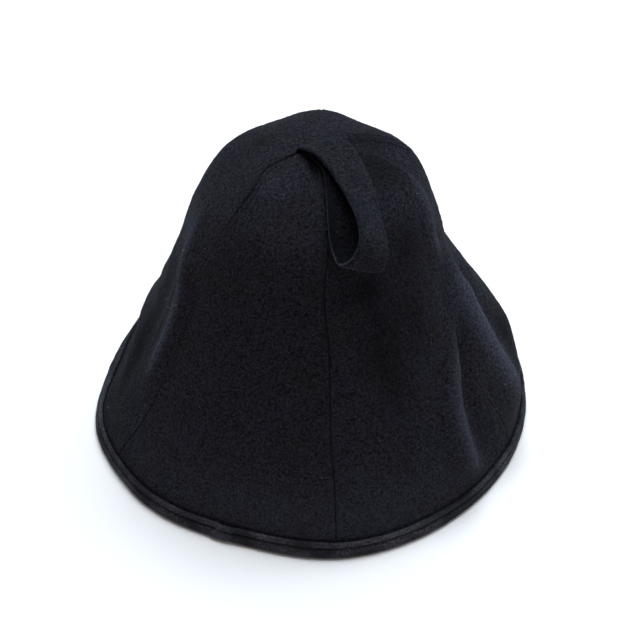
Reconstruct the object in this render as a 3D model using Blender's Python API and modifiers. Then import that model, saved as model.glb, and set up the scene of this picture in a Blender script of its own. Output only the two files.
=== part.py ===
"""Sauna hat: six felt gores, a bound rim and a hanging loop sewn in at the top.

Lengths in the tables are millimetres. The hat stands on its rim at z = 0, its
back faces -Y, and a turn is an angle round the hat from the back towards +X.
"""
import math

import bmesh
import bpy
from mathutils import Vector

MM = 0.001

RIM_DIAMETER = 299.0
CROWN_HEIGHT = 227.5
FELT = 2.5
TAPE = 2.0
STRAP = 2.4
CLEARANCE = 0.4

SEAM_GAP = 0.8
SEAM_ROLL = 4.0
SEAM_ROLL_SHARE = 0.12
SEAM_SLOPE = 0.08
FELT_EDGE = TAPE + 1.4
TAPE_HEIGHT = 13.0
GORE_ROWS = 24
LOOP_ROWS = 38
LOOP_COLUMNS = 3

# A fold fades in and out over this share of its height, and below this height
# it pushes the felt out level, so that the rim stays flat on the floor.
FOLD_FADE = 0.3
LEVEL_HEIGHT = 40.0

TAPE_OUT = TAPE + CLEARANCE
RIM_RADIUS = 0.5 * RIM_DIAMETER - TAPE_OUT

# The felt's outer surface, from the rim up: height, half width (x), half depth
# (y), shift of the middle (x and y), and how far a gore sags between its seams.
SECTIONS = (
    ("rim", 0.0, RIM_RADIUS, RIM_RADIUS, 0.0, 0.0, 0.0),
    ("tape_top", 14.0, 145.5, 145.5, 0.5, 0.0, 0.3),
    ("low_brim", 52.0, 134.0, 133.5, 4.0, 0.0, 1.5),
    ("high_brim", 85.0, 116.0, 116.0, 3.0, 0.0, 2.0),
    ("waist", 128.0, 95.0, 95.0, 2.0, 0.0, 2.0),
    ("head_band", 168.0, 82.5, 84.5, 2.0, 0.0, 2.5),
    ("shoulder", 196.0, 69.3, 72.5, 4.0, 0.0, 3.0),
    ("crown_edge", 213.0, 49.5, 53.0, 2.6, 0.0, 3.0),
    ("crown_top", 224.0, 26.0, 28.0, -6.0, -3.0, 1.5),
    ("apex", CROWN_HEIGHT, 2.2, 2.2, -3.0, -6.0, 0.0),
)

# Folds and dents: lowest and highest height, the turn of the crest there and
# half way up, how far it stands out (or in), and its half width in degrees.
FOLDS = (
    ("rim_dent", -30.0, 70.0, -19.0, -19.0, -19.0, -6.0, 33.0),
    ("left_flank", -10.0, 120.0, -105.0, -105.0, -105.0, -9.0, 42.0),
    ("left_flare", 45.0, 112.0, -108.0, -108.0, -108.0, 5.0, 30.0),
    ("left_low", -5.0, 45.0, -100.0, -100.0, -100.0, -3.0, 25.0),
    ("left_rim", -30.0, 30.0, -80.0, -80.0, -80.0, 2.4, 22.0),
    ("right_rim", -30.0, 45.0, 50.0, 50.0, 50.0, -2.0, 48.0),
    ("right_flare", 8.0, 65.0, 100.0, 100.0, 100.0, 2.3, 18.0),
    ("right_waist", 95.0, 150.0, 100.0, 100.0, 100.0, -2.0, 25.0),
    ("left_ridge", 50.0, 200.0, -66.5, -64.5, -80.0, 4.5, 10.0),
    ("left_hollow", 15.0, 150.0, -82.0, -82.0, -86.0, -3.0, 12.0),
    ("right_ridge", 14.0, 165.0, 73.0, 74.5, 79.0, 9.0, 12.0),
    ("right_hollow", 14.0, 130.0, 91.0, 93.0, 96.0, -6.0, 13.0),
    ("brim_ridge", 10.0, 125.0, 53.5, 46.0, 68.0, 5.5, 7.5),
    ("brim_hollow", 10.0, 125.0, 61.5, 54.0, 75.0, -5.0, 7.5),
    ("crown_ridge", 150.0, 226.0, 71.0, 73.0, 100.0, 2.5, 8.0),
    ("crown_dent", 196.0, 225.0, 110.0, 110.0, 110.0, -2.5, 12.0),
)

# Where each seam lies: its turn at six places up the wall, which are given as
# shares of its length, from the rim to the apex.
SEAM_PLACES = (0.0, 0.25, 0.5, 0.72, 0.88, 1.0)
SEAMS = {
    "left_far": (-122.0, -120.0, -120.0, -120.0, -120.0, -120.0),
    "left": (-64.5, -57.0, -59.0, -54.0, -53.5, -52.0),
    "back": (7.0, 4.5, 6.0, 5.5, 16.0, 50.0),
    "right": (70.0, 61.0, 67.0, 68.5, 84.0, 98.0),
    "right_far": (126.0, 122.0, 120.0, 118.0, 121.0, 132.0),
    "front": (185.0, 183.0, 181.0, 178.0, 176.0, 180.0),
}
SEAM_ORDER = ("left_far", "left", "back", "right", "right_far", "front")

# The gores, each from one seam to the next, with its columns of faces.
GORES = (
    ("gore_side_left", "left_far", "left", 12),
    ("gore_back_left", "left", "back", 10),
    ("gore_back_right", "back", "right", 13),
    ("gore_side_right", "right", "right_far", 13),
    ("gore_front_right", "right_far", "front", 9),
    ("gore_front_left", "front", "left_far", 9),
)

# The tape folded over the rim, from its inner edge round to its outer edge:
# out from the felt's outer face, and height.
TAPE_IN = FELT + 3.0 * CLEARANCE + TAPE
TAPE_PROFILE = (
    ("inner_edge", -TAPE_IN, TAPE_HEIGHT - 0.5),
    ("inner_side", -TAPE_IN, 3.5),
    ("inner_turn", 0.3 - TAPE_IN, 1.2),
    ("inner_foot", 1.7 - TAPE_IN, 0.0),
    ("outer_foot", TAPE_OUT - 1.7, 0.0),
    ("outer_turn", TAPE_OUT - 0.3, 1.2),
    ("outer_roll", TAPE_OUT + 0.4, 3.5),
    ("outer_side", TAPE_OUT + 0.3, 6.5),
    ("stitch_line", TAPE_OUT, 8.6),
    ("outer_bead", TAPE_OUT + 0.2, 10.2),
    ("outer_edge", TAPE_OUT, TAPE_HEIGHT),
)

# The tape's ends lap over one another here, and stand out from the rest.
LAP_TURN = -24.0
LAP_HALF_WIDTH = 2.6
LAP_TOP_HALF_WIDTH = 2.1
LAP_RISE = 1.0

# The hanging loop: where its near and far edges run, from the sewn end of the
# outer arm, round the bottom, and back under to the sewn end of the under arm.
LOOP_STATIONS = (
    ("outer_end", (-4.5, -12.5, 232.4), (18.2, 2.1, 231.1)),
    ("outer_start", (1.7, -18.5, 233.4), (24.2, -4.2, 230.8)),
    ("outer_crotch", (8.0, -27.5, 233.8), (30.0, -13.2, 228.6)),
    ("outer_upper", (15.7, -41.0, 231.5), (36.0, -27.0, 224.8)),
    ("outer_middle", (23.8, -58.0, 227.6), (41.5, -43.5, 217.5)),
    ("outer_lower", (29.2, -72.0, 223.0), (45.2, -57.5, 208.5)),
    ("outer_turn", (30.4, -79.5, 217.5), (47.8, -67.0, 202.0)),
    ("low_corner", (28.6, -85.0, 210.5), (47.8, -73.8, 195.6)),
    ("bottom", (23.8, -87.0, 203.6), (44.8, -78.0, 190.0)),
    ("under_corner", (17.2, -83.8, 198.2), (40.6, -77.6, 187.0)),
    ("under_lower", (12.8, -74.2, 202.6), (37.2, -71.6, 192.6)),
    ("under_middle", (10.4, -60.3, 213.6), (35.2, -57.2, 205.2)),
    ("under_upper", (9.4, -43.3, 222.9), (33.8, -36.3, 217.1)),
    ("under_crotch", (6.6, -26.6, 228.3), (29.6, -14.1, 224.9)),
    ("under_start", (0.6, -18.0, 229.3), (23.6, -4.6, 227.3)),
    ("under_end", (-4.5, -12.5, 229.5), (18.2, 2.1, 228.2)),
)

COLOURS = {
    "wool_felt": (0.010, 0.011, 0.015),
    "rim_tape": (0.013, 0.014, 0.018),
    "loop_felt": (0.012, 0.013, 0.018),
}


def smooth_step(u):
    """Rise from 0 to 1 with level ends."""
    u = min(1.0, max(0.0, u))
    return u * u * (3.0 - 2.0 * u)


def slope_at(knots, values, i):
    """The slope of a smooth curve through the values at knot i."""
    first = max(0, i - 1)
    last = min(len(knots) - 1, i + 1)
    if first == i or last == i:
        return (values[last] - values[first]) / (knots[last] - knots[first])
    before = knots[i] - knots[first]
    after = knots[last] - knots[i]
    rise_in = (values[i] - values[first]) / before
    rise_out = (values[last] - values[i]) / after
    return (rise_in * after + rise_out * before) / (before + after)


def curve_value(knots, values, place):
    """Read a smooth curve through the values at a place between the knots."""
    place = min(knots[-1], max(knots[0], place))
    k = 0
    while k < len(knots) - 2 and knots[k + 1] < place:
        k += 1
    span = knots[k + 1] - knots[k]
    u = (place - knots[k]) / span
    start_slope = slope_at(knots, values, k) * span
    end_slope = slope_at(knots, values, k + 1) * span
    return ((2 * u**3 - 3 * u**2 + 1) * values[k] + (u**3 - 2 * u**2 + u) * start_slope
            + (3 * u**2 - 2 * u**3) * values[k + 1] + (u**3 - u**2) * end_slope)


def wall_places():
    """How far up the felt wall each section lies, measured along the felt."""
    places = [0.0]
    for lower, upper in zip(SECTIONS, SECTIONS[1:]):
        places.append(places[-1] + math.hypot(upper[1] - lower[1], upper[2] - lower[2]))
    return places


WALL_PLACES = wall_places()
WALL_LENGTH = WALL_PLACES[-1]
ABOVE_TAPE = TAPE_HEIGHT + 2.0


def section_at(place):
    """Height, half width, half depth, shift x, shift y and sag at a place up the wall."""
    return [curve_value(WALL_PLACES, [row[c] for row in SECTIONS], place) for c in range(1, 7)]


def seam_turn(seam, place):
    """The turn at which a seam lies, at a place up the wall."""
    return curve_value(SEAM_PLACES, SEAMS[seam], place / WALL_LENGTH)


def fold_out(turn, height):
    """How far the folds and dents push the felt out at a turn and a height."""
    total = 0.0
    for _, low, high, turn_low, turn_middle, turn_high, out, spread in FOLDS:
        if not low < height < high:
            continue
        u = (height - low) / (high - low)
        crest = turn_low * (1 - u) * (1 - 2 * u) + turn_middle * 4 * u * (1 - u) + turn_high * u * (2 * u - 1)
        away = (turn - crest + 180.0) % 360.0 - 180.0
        if abs(away) < spread:
            fade = smooth_step(u / FOLD_FADE) * smooth_step((1 - u) / FOLD_FADE)
            total += out * fade * math.cos(0.5 * math.pi * away / spread) ** 2
    return total


def gore_sag(turn, place):
    """0 on a seam and 1 half way between two seams."""
    turns = [seam_turn(seam, place) for seam in SEAM_ORDER]
    for start, end in zip(turns, turns[1:] + [turns[0] + 360.0]):
        u = ((turn - start) % 360.0) / (end - start)
        if u <= 1.0:
            return math.sin(math.pi * u) ** 2
    return 0.0


def felt_point(turn, place, drop=0.0):
    """A point of the felt's outer surface; drop sinks it into the felt."""
    height, half_x, half_y, shift_x, shift_y, sag = section_at(place)
    lower = section_at(max(0.0, place - 1.0))
    upper = section_at(min(WALL_LENGTH, place + 1.0))
    rise = upper[0] - lower[0]
    inward = lower[1] - upper[1]
    length = math.hypot(rise, inward)
    out = fold_out(turn, height) - sag * gore_sag(turn, place) - drop
    level = out * rise / length
    lift = out * inward / length * smooth_step(height / LEVEL_HEIGHT)
    a = math.radians(turn)
    return Vector((shift_x + (half_x + level) * math.sin(a),
                   shift_y - (half_y + level) * math.cos(a),
                   height + lift))


def gore_turns(start_seam, end_seam, columns, place):
    """The turns of a gore's columns, and the width in mm of its two narrow edge columns."""
    radius = max(1.0, section_at(place)[1])
    half_gap = math.degrees(0.5 * SEAM_GAP / radius)
    start = seam_turn(start_seam, place)
    end = seam_turn(end_seam, place)
    if end < start:
        end += 360.0
    start += half_gap
    end -= half_gap
    edge = min(math.degrees(SEAM_ROLL / radius), SEAM_ROLL_SHARE * (end - start))
    step = (end - start - 2.0 * edge) / (columns - 2)
    turns = [start] + [start + edge + step * k for k in range(columns - 1)] + [end]
    return turns, radius * math.radians(edge)


def new_material(name):
    """A matt, dyed felt material."""
    material = bpy.data.materials.new(name)
    material.use_nodes = True
    shader = material.node_tree.nodes["Principled BSDF"]
    shader.inputs["Base Color"].default_value = (*COLOURS[name], 1.0)
    shader.inputs["Roughness"].default_value = 0.95
    shader.inputs["Metallic"].default_value = 0.0
    return material


def felt_sheet(name, columns, rows, place_point, thickness, offset, material, collection):
    """Shape a grid into an open sheet and give it the felt's thickness."""
    mesh = bpy.data.meshes.new(name)
    sheet = bmesh.new()
    bmesh.ops.create_grid(sheet, x_segments=columns, y_segments=rows, size=0.5)
    for vert in sheet.verts:
        column = round((vert.co.x + 0.5) * columns)
        row = round((vert.co.y + 0.5) * rows)
        vert.co = place_point(column, row) * MM
    bmesh.ops.remove_doubles(sheet, verts=sheet.verts[:], dist=0.00001)
    sheet.to_mesh(mesh)
    sheet.free()
    mesh.materials.append(material)
    mesh.shade_smooth()
    mesh.set_sharp_from_angle(angle=math.radians(50.0))
    piece = bpy.data.objects.new(name, mesh)
    collection.objects.link(piece)
    wall = piece.modifiers.new("Felt thickness", "SOLIDIFY")
    wall.thickness = thickness * MM
    wall.offset = offset
    wall.use_even_offset = True
    return piece


def make_gore(name, start_seam, end_seam, columns, material, collection):
    """One gore, from the rim to the apex, its two sewn edges rolled in."""
    def gore_point(column, row):
        place = FELT_EDGE
        if row > 0:
            place = ABOVE_TAPE + (WALL_LENGTH - ABOVE_TAPE) * (row - 1) / (GORE_ROWS - 1)
        turns, edge_width = gore_turns(start_seam, end_seam, columns, place)
        on_seam = column in (0, columns)
        drop = SEAM_SLOPE * edge_width if on_seam and row > 1 else 0.0
        return felt_point(turns[column], place, drop)

    return felt_sheet(name, columns, GORE_ROWS, gore_point, FELT, -1.0, material, collection)


def tape_turns():
    """The turns round the rim where the tape has a station: every gore column and the lap."""
    turns = [LAP_TURN + side * width for side in (-1, 1) for width in (LAP_TOP_HALF_WIDTH, LAP_HALF_WIDTH)]
    for _, start_seam, end_seam, columns in GORES:
        turns += gore_turns(start_seam, end_seam, columns, 0.5 * TAPE_HEIGHT)[0][:-1]
    turns = sorted((turn + 180.0) % 360.0 - 180.0 for turn in turns)
    return turns + [turns[0] + 360.0]


def make_rim_binding(material, collection):
    """The tape folded over the rim, with a level foot that the hat stands on.

    It follows the gores' lowest row of faces, so the gap to them is even.
    """
    turns = tape_turns()

    def tape_point(column, row):
        _, out, height = TAPE_PROFILE[row]
        turn = turns[column]
        if out > 0.0 and height > 0.0 and abs(turn - LAP_TURN) < LAP_HALF_WIDTH - 0.1:
            out += LAP_RISE
        low = felt_point(turn, FELT_EDGE)
        high = felt_point(turn, ABOVE_TAPE)
        slant = (high - low).length / (high.z - low.z)
        a = math.radians(turn)
        level_out = out * slant * Vector((math.sin(a), -math.cos(a), 0.0))
        return low.lerp(high, (height - low.z) / (high.z - low.z)) + level_out

    return felt_sheet("rim_binding", len(turns) - 1, len(TAPE_PROFILE) - 1, tape_point,
                      TAPE, -1.0, material, collection)


def make_hanging_loop(material, collection):
    """The felt strap, folded into a loop whose two ends are sewn in at the apex."""
    near = [Vector(station[1]) for station in LOOP_STATIONS]
    far = [Vector(station[2]) for station in LOOP_STATIONS]
    places = [0.0]
    for a, b in zip(near, near[1:]):
        places.append(places[-1] + (b - a).length)

    def edge_point(edge, place):
        return Vector([curve_value(places, [point[axis] for point in edge], place) for axis in range(3)])

    def loop_point(column, row):
        place = places[-1] * row / LOOP_ROWS
        return edge_point(near, place).lerp(edge_point(far, place), column / LOOP_COLUMNS)

    return felt_sheet("hanging_loop", LOOP_COLUMNS, LOOP_ROWS, loop_point, STRAP, 0.0, material, collection)


def main():
    for old in list(bpy.data.objects):
        bpy.data.objects.remove(old, do_unlink=True)
    hat = bpy.data.collections.new("sauna_hat")
    bpy.context.scene.collection.children.link(hat)
    felt = new_material("wool_felt")
    for name, start_seam, end_seam, columns in GORES:
        make_gore(name, start_seam, end_seam, columns, felt, hat)
    make_rim_binding(new_material("rim_tape"), hat)
    make_hanging_loop(new_material("loop_felt"), hat)


main()
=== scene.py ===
"""Sauna hat: felt, seams, bound rim and hanging loop, dressed over the fixed frame.

Lengths in the tables are millimetres, as in the part. A turn is an angle round
the hat from its back (-Y) towards +X, and a place is a distance up the felt.
"""
import math

import bpy
import numpy as np
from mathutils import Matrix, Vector


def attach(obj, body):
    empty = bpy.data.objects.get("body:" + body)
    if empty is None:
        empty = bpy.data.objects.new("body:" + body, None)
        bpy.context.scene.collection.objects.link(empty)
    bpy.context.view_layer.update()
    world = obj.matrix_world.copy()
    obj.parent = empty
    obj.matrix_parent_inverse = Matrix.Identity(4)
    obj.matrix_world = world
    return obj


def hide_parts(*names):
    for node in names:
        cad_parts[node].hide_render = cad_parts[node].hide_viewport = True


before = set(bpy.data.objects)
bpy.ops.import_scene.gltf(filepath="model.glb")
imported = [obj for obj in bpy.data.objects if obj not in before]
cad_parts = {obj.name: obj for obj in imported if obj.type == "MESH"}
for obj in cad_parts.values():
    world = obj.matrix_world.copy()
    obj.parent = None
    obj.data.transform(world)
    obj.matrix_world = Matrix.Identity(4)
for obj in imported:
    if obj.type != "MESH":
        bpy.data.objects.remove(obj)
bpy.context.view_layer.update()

bl_info = {
    "name": "Sauna Hat",
    "version": (1, 0, 0),
    "blender": (4, 5, 0),
    "location": "3D View > Sidebar > Hat",
    "description": "Builds a felt sauna hat with sewn gores, a bound rim and a hanging loop",
    "category": "Add Mesh",
}

MM = 0.001

RIM_DIAMETER = 299.0
CROWN_HEIGHT = 227.5
FELT = 2.5
TAPE = 2.0
STRAP = 2.4
CLEARANCE = 0.4
TAPE_OUT = TAPE + CLEARANCE
TAPE_IN = FELT + 3.0 * CLEARANCE + TAPE
TAPE_HEIGHT = 13.0
FELT_EDGE = TAPE + 1.4
ABOVE_TAPE = TAPE_HEIGHT + 2.0
RIM_RADIUS = 0.5 * RIM_DIAMETER - TAPE_OUT
# A fold rises over this share of its height at each end.
FOLD_FADE = 0.3
# Below this height a fold moves the felt level, so that the rim stays flat.
LEVEL_HEIGHT = 40.0
# Past the wall's end the felt closes to this radius, and dips as it does.
CLOSED_RADIUS = 0.25
APEX_DIP = 0.4

# The felt's outer surface, from the rim up: height, half width (x), half depth
# (y), shift of the middle (x and y), and how far a gore sags between its seams.
SECTIONS = (
    ("rim", 0.0, RIM_RADIUS, RIM_RADIUS, 0.0, 0.0, 0.0),
    ("tape_top", 14.0, 145.5, 145.5, 0.5, 0.0, 0.3),
    ("low_brim", 52.0, 134.0, 133.5, 4.0, 0.0, 1.5),
    ("high_brim", 85.0, 116.0, 116.0, 3.0, 0.0, 2.0),
    ("waist", 128.0, 95.0, 95.0, 2.0, 0.0, 2.0),
    ("head_band", 168.0, 82.5, 84.5, 2.0, 0.0, 2.5),
    ("shoulder", 196.0, 69.3, 72.5, 4.0, 0.0, 3.0),
    ("crown_edge", 213.0, 49.5, 53.0, 2.6, 0.0, 3.0),
    ("crown_top", 224.0, 26.0, 28.0, -6.0, -3.0, 1.5),
    ("apex", CROWN_HEIGHT, 2.2, 2.2, -3.0, -6.0, 0.0),
)

# Folds and dents: lowest and highest height, the turn of the crest at the low,
# middle and high height, how far it stands out (or in), and its half width in
# degrees.
FOLDS = (
    ("rim_dent", -30.0, 70.0, -19.0, -19.0, -19.0, -6.0, 33.0),
    ("left_flank", -10.0, 120.0, -105.0, -105.0, -105.0, -9.0, 42.0),
    ("left_flare", 45.0, 112.0, -108.0, -108.0, -108.0, 5.0, 30.0),
    ("left_low", -5.0, 45.0, -100.0, -100.0, -100.0, -3.0, 25.0),
    ("left_rim", -30.0, 30.0, -80.0, -80.0, -80.0, 2.4, 22.0),
    ("right_rim", -30.0, 45.0, 50.0, 50.0, 50.0, -2.0, 48.0),
    ("right_flare", 8.0, 65.0, 100.0, 100.0, 100.0, 2.3, 18.0),
    ("right_waist", 95.0, 150.0, 100.0, 100.0, 100.0, -2.0, 25.0),
    ("left_ridge", 50.0, 200.0, -66.5, -64.5, -80.0, 4.5, 10.0),
    ("left_hollow", 15.0, 150.0, -82.0, -82.0, -86.0, -3.0, 12.0),
    ("right_ridge", 14.0, 165.0, 73.0, 74.5, 79.0, 9.0, 12.0),
    ("right_hollow", 14.0, 130.0, 91.0, 93.0, 96.0, -6.0, 13.0),
    ("brim_ridge", 10.0, 125.0, 53.5, 46.0, 68.0, 5.5, 7.5),
    ("brim_hollow", 10.0, 125.0, 61.5, 54.0, 75.0, -5.0, 7.5),
    ("crown_ridge", 150.0, 226.0, 71.0, 73.0, 100.0, 2.5, 8.0),
    ("crown_dent", 196.0, 225.0, 110.0, 110.0, 110.0, -2.5, 12.0),
)

# The turn of each seam at six places, given as shares of the way up the wall.
SEAM_PLACES = (0.0, 0.25, 0.5, 0.72, 0.88, 1.0)
SEAMS = {
    "left_far": (-122.0, -120.0, -120.0, -120.0, -120.0, -120.0),
    "left": (-64.5, -57.0, -59.0, -54.0, -53.5, -52.0),
    "back": (7.0, 4.5, 6.0, 5.5, 16.0, 50.0),
    "right": (70.0, 61.0, 67.0, 68.5, 84.0, 98.0),
    "right_far": (126.0, 122.0, 120.0, 118.0, 121.0, 132.0),
    "front": (185.0, 183.0, 181.0, 178.0, 176.0, 180.0),
}
SEAM_ORDER = ("left_far", "left", "back", "right", "right_far", "front")

# The gores, each from one seam to the next.
GORES = (
    ("gore_side_left", "left_far", "left"),
    ("gore_back_left", "left", "back"),
    ("gore_back_right", "back", "right"),
    ("gore_side_right", "right", "right_far"),
    ("gore_front_right", "right_far", "front"),
    ("gore_front_left", "front", "left_far"),
)

# Seams with a second row of stitching beside them, and on which side it runs:
# +1 towards a larger turn, -1 towards a smaller one.
TOPSTITCHED = {"left_far": 1, "left": 1, "right": -1, "right_far": -1}
TOPSTITCH_AWAY = 3.4
TOPSTITCH_ABOVE_TAPE = 4.0
TOPSTITCH_BELOW_APEX = 14.0
TOPSTITCH_REACH = 0.5
TOPSTITCH_SINK = 0.04
DIMPLE_SINK = 0.1

# Beside a seam: a low welt, a groove that widens with its depth, and puckers. They
# fade out at the tape's edge.
RELIEF_FROM = TAPE_HEIGHT - 1.0
RELIEF_FADE = 3.0
WELT_RISE = 0.1
WELT_AWAY = 1.9
WELT_REACH = 1.0
GROOVE_REACH = 0.35
GROOVE_SPREAD = 0.2
PUCKER_RISE = 0.22
PUCKER_LENGTH = 7.0
PUCKER_REACH = 5.0

# How deep each seam is pressed in, at the six places of the seam tables.
SEAM_DEPTHS = {
    "left_far": (0.4, 0.4, 0.4, 0.35, 0.08, 0.05),
    "left": (0.7, 0.5, 0.1, 0.3, 1.9, 2.2),
    "back": (0.9, 0.9, 1.0, 1.0, 0.7, 0.5),
    "right": (0.35, 0.3, 0.1, 0.12, 0.06, 0.03),
    "right_far": (0.4, 0.4, 0.4, 0.3, 0.06, 0.03),
    "front": (0.5, 0.5, 0.45, 0.45, 0.5, 0.4),
}

# Ridges that carry a pinched crest: how far it stands out, how far it lies from the ridge's own turn, how
# far it reaches before and after, and how strong a painted highlight runs along it.
CRESTS = {
    "left_ridge": (1.6, 0.0, 3.5, 3.0, 0.8),
    "right_ridge": (2.2, -1.0, 10.0, 3.0, 0.85),
    "brim_ridge": (1.4, 4.5, 8.0, 2.5, 0.5),
    "crown_ridge": (1.0, 0.0, 7.0, 5.0, 0.45),
}

# Patches of painted highlight, or below 0 of painted shade, on the felt: the turn and place of the middle,
# its reach along the turn and up the wall, and how much.
LIGHT_PATCHES = (
    ("back_right", 29.0, 142.0, 17.0, 56.0, -0.6),
    ("under_loop", 22.0, 184.0, 18.0, 10.0, -0.4),
    ("crotch", 22.0, 272.0, 2.6, 9.0, -1.0),
    ("back_right_upper", 46.0, 150.0, 12.0, 30.0, -0.4),
    ("right_shoulder", 52.0, 200.0, 14.0, 22.0, -0.5),
    ("crown_left", -40.0, 252.0, 14.0, 12.0, 0.2),
    ("beside_loop", 85.0, 245.0, 24.0, 22.0, -0.6),
    ("left_flank", -82.0, 55.0, 26.0, 34.0, -0.9),
    ("left_hollow", -73.0, 98.0, 8.0, 22.0, -0.6),
    ("right_flare", 97.0, 52.0, 10.0, 20.0, -0.5),
    ("left_limb", -86.0, 178.0, 22.0, 13.0, 0.45),
    ("left_edge", -107.0, 88.0, 12.0, 30.0, 0.15),
    ("low_back", -5.0, 28.0, 120.0, 32.0, 0.22),
)

# The felt sinks in above the tape, but fills that crevice round this turn.
CREVICE = 0.6
CREVICE_PLACE = TAPE_HEIGHT + 0.9
CREVICE_REACH = 1.0
FILLED_TURN = -115.0
FILLED_SPREAD = 24.0

# The felt's own surface: how high (in grains), how large and which seed.
FELT_LUMPS = (
    ("soft_lumps", 1.4, 9.0, 12),
    ("pills", 1.0, 3.1, 13),
    ("matted_tufts", 0.8, 1.7, 14),
)
BUCKLE_SIZE = 42.0
BUCKLE_SEED = 11
CALM_BELOW_APEX = 14.0
CALM_ABOVE_TAPE = 10.0

# Inside, the seam allowance thickens the felt beside each seam.
ALLOWANCE = 1.3
ALLOWANCE_WIDTH = 4.0
ALLOWANCE_FADE = 2.5

# A gore's columns: close ones as distances from a seam, and even ones between.
# Its rows, by place: a few under the tape, close ones at its edge, then even ones
# that go a little past the wall's end. The inside has every third of each.
SEAM_COLUMNS = (0.0, 0.15, 0.32, 0.5, 0.75, 1.05, 1.45, 1.9, 2.4, 2.85, 3.15, 3.4, 3.65, 3.95, 4.5, 5.4)
MIDDLE_COLUMNS = 108
# The most of a narrow gore that the close columns take at each side, and the gap
# that the cut edges leave at a seam, in mm and at most as a share of the width.
CLOSE_SHARE = 0.42
SEAM_GAP = 0.08
SEAM_GAP_SHARE = 0.05
UNDER_TAPE_TOP = 11.0
UNDER_TAPE_ROWS = 4
TAPE_EDGE_PLACES = (11.5, 19.0, 0.55)
WALL_START = 19.2
WALL_ROWS = 240
PAST_APEX = 1.9
THIN_EVERY = 3

# The tape folded over the rim, from its inner edge round to its outer edge:
# out from the felt's outer face, and height.
TAPE_PROFILE = (
    ("inner_edge", -TAPE_IN, TAPE_HEIGHT - 0.5),
    ("inner_side", -TAPE_IN, 7.0),
    ("inner_low", -TAPE_IN, 3.5),
    ("inner_turn", 0.3 - TAPE_IN, 1.2),
    ("inner_foot", 1.7 - TAPE_IN, 0.0),
    ("outer_foot", TAPE_OUT - 1.7, 0.0),
    ("outer_turn", TAPE_OUT - 0.3, 1.0),
    ("outer_roll", TAPE_OUT + 0.5, 3.0),
    ("outer_side", TAPE_OUT + 0.6, 5.8),
    ("below_stitch", TAPE_OUT + 0.3, 7.7),
    ("stitch_line", TAPE_OUT - 0.8, 8.8),
    ("above_stitch", TAPE_OUT + 0.1, 9.9),
    ("outer_bead", TAPE_OUT + 0.4, 11.2),
    ("outer_edge", TAPE_OUT, TAPE_HEIGHT),
)
TAPE_STATIONS = 780
TAPE_ROWS = 45
# The tape's unevenness: how high, how large and which seed. It is less inside, and
# fades out to the foot. The free edge above the stitches waves up and down.
TAPE_WAVES = ((0.28, 8.0, 31), (0.12, 2.4, 32))
INSIDE_WAVE = 0.3
TAPE_FOOT = 2.5
EDGE_WAVE = (0.35, 14.0, 33)
FREE_EDGE = 4.0
CUT_STEP = 0.1
# The groove that the stitches pull in, with painted shade in it, and the bead of felt above it, with a
# painted highlight along it.
STITCH_HEIGHT = 8.8
STITCH_SUNK = 0.55
STITCH_PULL = 0.5
STITCH_PULL_REACH = 1.1
GROOVE_SHADE = 0.6
GROOVE_SHADE_REACH = 0.6
BEAD_HEIGHT = 11.8
BEAD_REACH = 0.9
BEAD_HIGHLIGHT = 0.15
# Where the tape's ends lap: half width and edge in degrees of turn, and slant; then how far the lapped end
# rises and how much paler it is.
LAP_TURN = -24.0
LAP_HALF_WIDTH = 2.6
LAP_EDGE = 0.35
LAP_SLANT = 2.4
LAP_RISE = 1.0
LAP_PALENESS = 0.35

# The hanging loop: where its near and far edges run, from the sewn end of the
# outer arm, round the bottom, and back under to the sewn end of the under arm.
# Both ends go into the felt of the crown.
LOOP_STATIONS = (
    ("outer_root", (-9.4, -8.0, 225.8), (13.4, 6.8, 223.6)),
    ("outer_tuck", (-8.4, -8.9, 229.2), (14.4, 5.9, 227.4)),
    ("outer_end", (-4.8, -12.2, 231.9), (17.9, 2.4, 230.3)),
    ("outer_start", (1.7, -18.5, 233.4), (24.2, -4.2, 230.8)),
    ("outer_crotch", (8.0, -27.5, 233.8), (30.0, -13.2, 228.6)),
    ("outer_upper", (15.7, -41.0, 231.5), (36.0, -27.0, 224.8)),
    ("outer_middle", (23.8, -58.0, 227.6), (41.5, -43.5, 217.5)),
    ("outer_lower", (29.2, -72.0, 223.0), (45.2, -57.5, 208.5)),
    ("outer_turn", (30.4, -79.5, 217.5), (47.8, -67.0, 202.0)),
    ("low_corner", (28.6, -85.0, 210.5), (47.8, -73.8, 195.6)),
    ("bottom", (23.8, -87.0, 203.6), (44.8, -78.0, 190.0)),
    ("under_corner", (17.2, -83.8, 198.2), (40.6, -77.6, 187.0)),
    ("under_lower", (12.8, -74.2, 202.6), (37.2, -71.6, 192.6)),
    ("under_middle", (10.4, -60.3, 213.6), (35.2, -57.2, 205.2)),
    ("under_upper", (9.4, -43.3, 222.9), (33.8, -36.3, 217.1)),
    ("under_crotch", (6.6, -26.6, 228.3), (29.6, -14.1, 224.9)),
    ("under_start", (0.6, -18.0, 228.6), (23.6, -4.6, 226.2)),
    ("under_end", (-3.4, -13.6, 228.2), (19.2, 1.0, 225.8)),
    ("under_root", (-5.6, -11.6, 226.2), (17.1, 3.2, 222.8)),
)
# How strong the painted highlight on its cut edges is, near and far, and how deep the painted shade in the
# crease beside its near edge is, evenly along the strap; then how dark the painted shade on its inner face
# is at the near edge and past the middle.
LOOP_LIGHT_MARKS = (
    ("outer_end", 0.0, 0.0, 0.9),
    ("outer_upper", 0.0, 0.0, 0.6),
    ("outer_middle", 0.0, 0.05, 0.2),
    ("outer_lower", 0.15, 0.8, 0.0),
    ("bottom", 0.6, 0.9, 0.0),
    ("under_lower", 0.25, 0.4, 0.35),
    ("under_middle", 0.1, 0.2, 0.75),
    ("under_end", 0.0, 0.0, 0.95),
)
INNER_SHADES = (0.8, 0.0)
CREASE_REACH = 0.18
HIGHLIGHT_FROM = 0.95
HIGHLIGHT_FADE = 0.04
FACE_END = 0.97
LOOP_ROWS = 190
LOOP_COLUMNS = 30
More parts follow.
